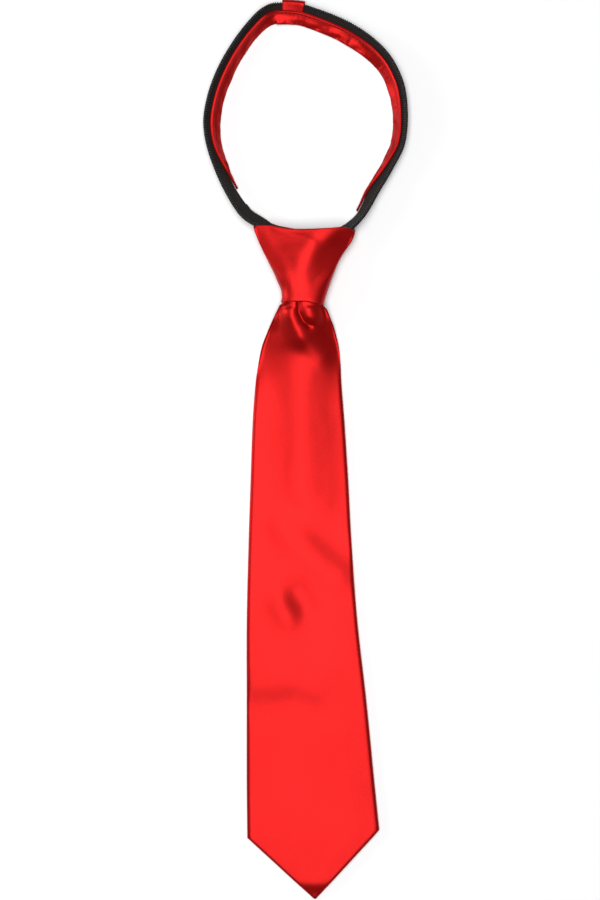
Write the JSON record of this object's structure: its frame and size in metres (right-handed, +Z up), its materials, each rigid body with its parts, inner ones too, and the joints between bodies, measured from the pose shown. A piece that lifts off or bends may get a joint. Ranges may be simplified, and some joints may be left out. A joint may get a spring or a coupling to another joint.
{
  "type": "zipper tie",
  "caption": "Child's ready-tied satin necktie with a tapered knot, a pointed blade and a neck loop made of the two halves of a zipper, lying flat.",
  "frame": {"origin": "on the surface that the tie lies on, under the middle of its bounding box", "axes": "+Z up, towards the tie's face; +Y from the tip towards the neck loop; +X to the right, seen from above"},
  "size_m": [0.1084, 0.4772, 0.0156],
  "materials": {
    "satin": "bright red polyester satin with a soft sheen",
    "zipper_tape": "black woven polyester tape, matt",
    "zipper_coil": "black nylon coil, slightly shiny",
    "zipper_metal": "black enamelled zinc"
  },
  "bodies": {
    "root": {"blade": "satin", "knot": "satin", "facing": "satin", "back_cover": "satin", "tape_left": "zipper_tape", "tape_right": "zipper_tape", "coil_left": "zipper_coil", "coil_right": "zipper_coil", "slider": "zipper_metal", "bottom_stop": "zipper_coil"}
  },
  "joints": []
}
